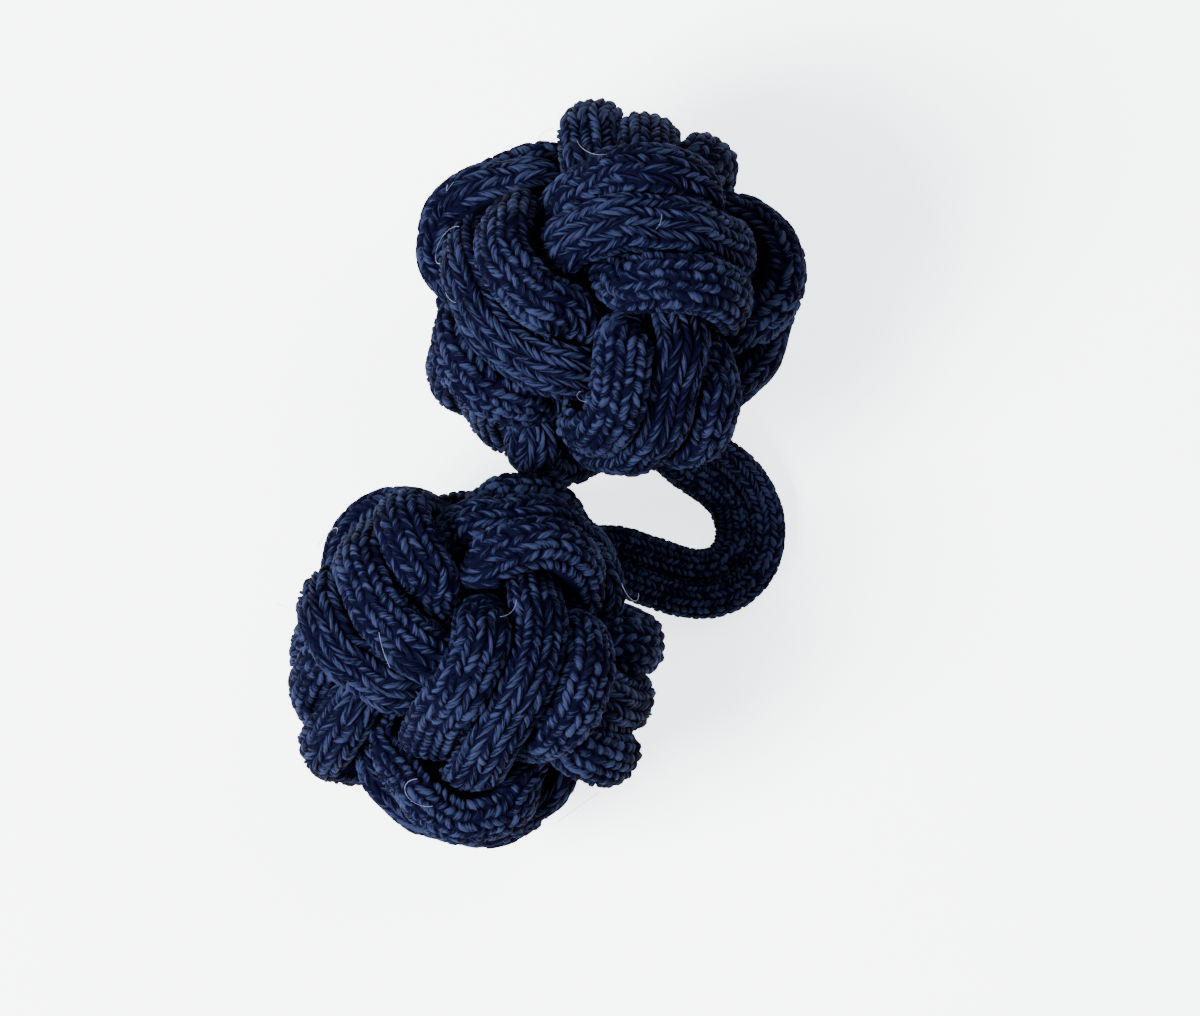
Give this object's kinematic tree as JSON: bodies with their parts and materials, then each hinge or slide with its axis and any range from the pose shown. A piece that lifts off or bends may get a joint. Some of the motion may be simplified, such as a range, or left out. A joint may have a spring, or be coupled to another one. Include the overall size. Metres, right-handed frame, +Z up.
{
  "type": "silk knot cuff button",
  "caption": "Double-ended cuff button of two round woven cord knots joined by a short double cord link, lying flat.",
  "frame": {"origin": "on the surface that the cuff button lies on, under the middle of its box", "axes": "+Z up from the surface; +Y from the front knot's side towards the back knot's side; +X to the side where the link's slack bows out"},
  "size_m": [0.0168, 0.0244, 0.0124],
  "materials": {
    "knot_cord": "navy multifilament braid, close herringbone stitches with a soft silky sheen",
    "link_cord": "the same navy braid, finer and a little duller"
  },
  "bodies": {
    "root": {"knot_back": "knot_cord", "knot_front": "knot_cord", "link_cord_inner": "link_cord", "link_cord_outer": "link_cord"}
  },
  "joints": []
}
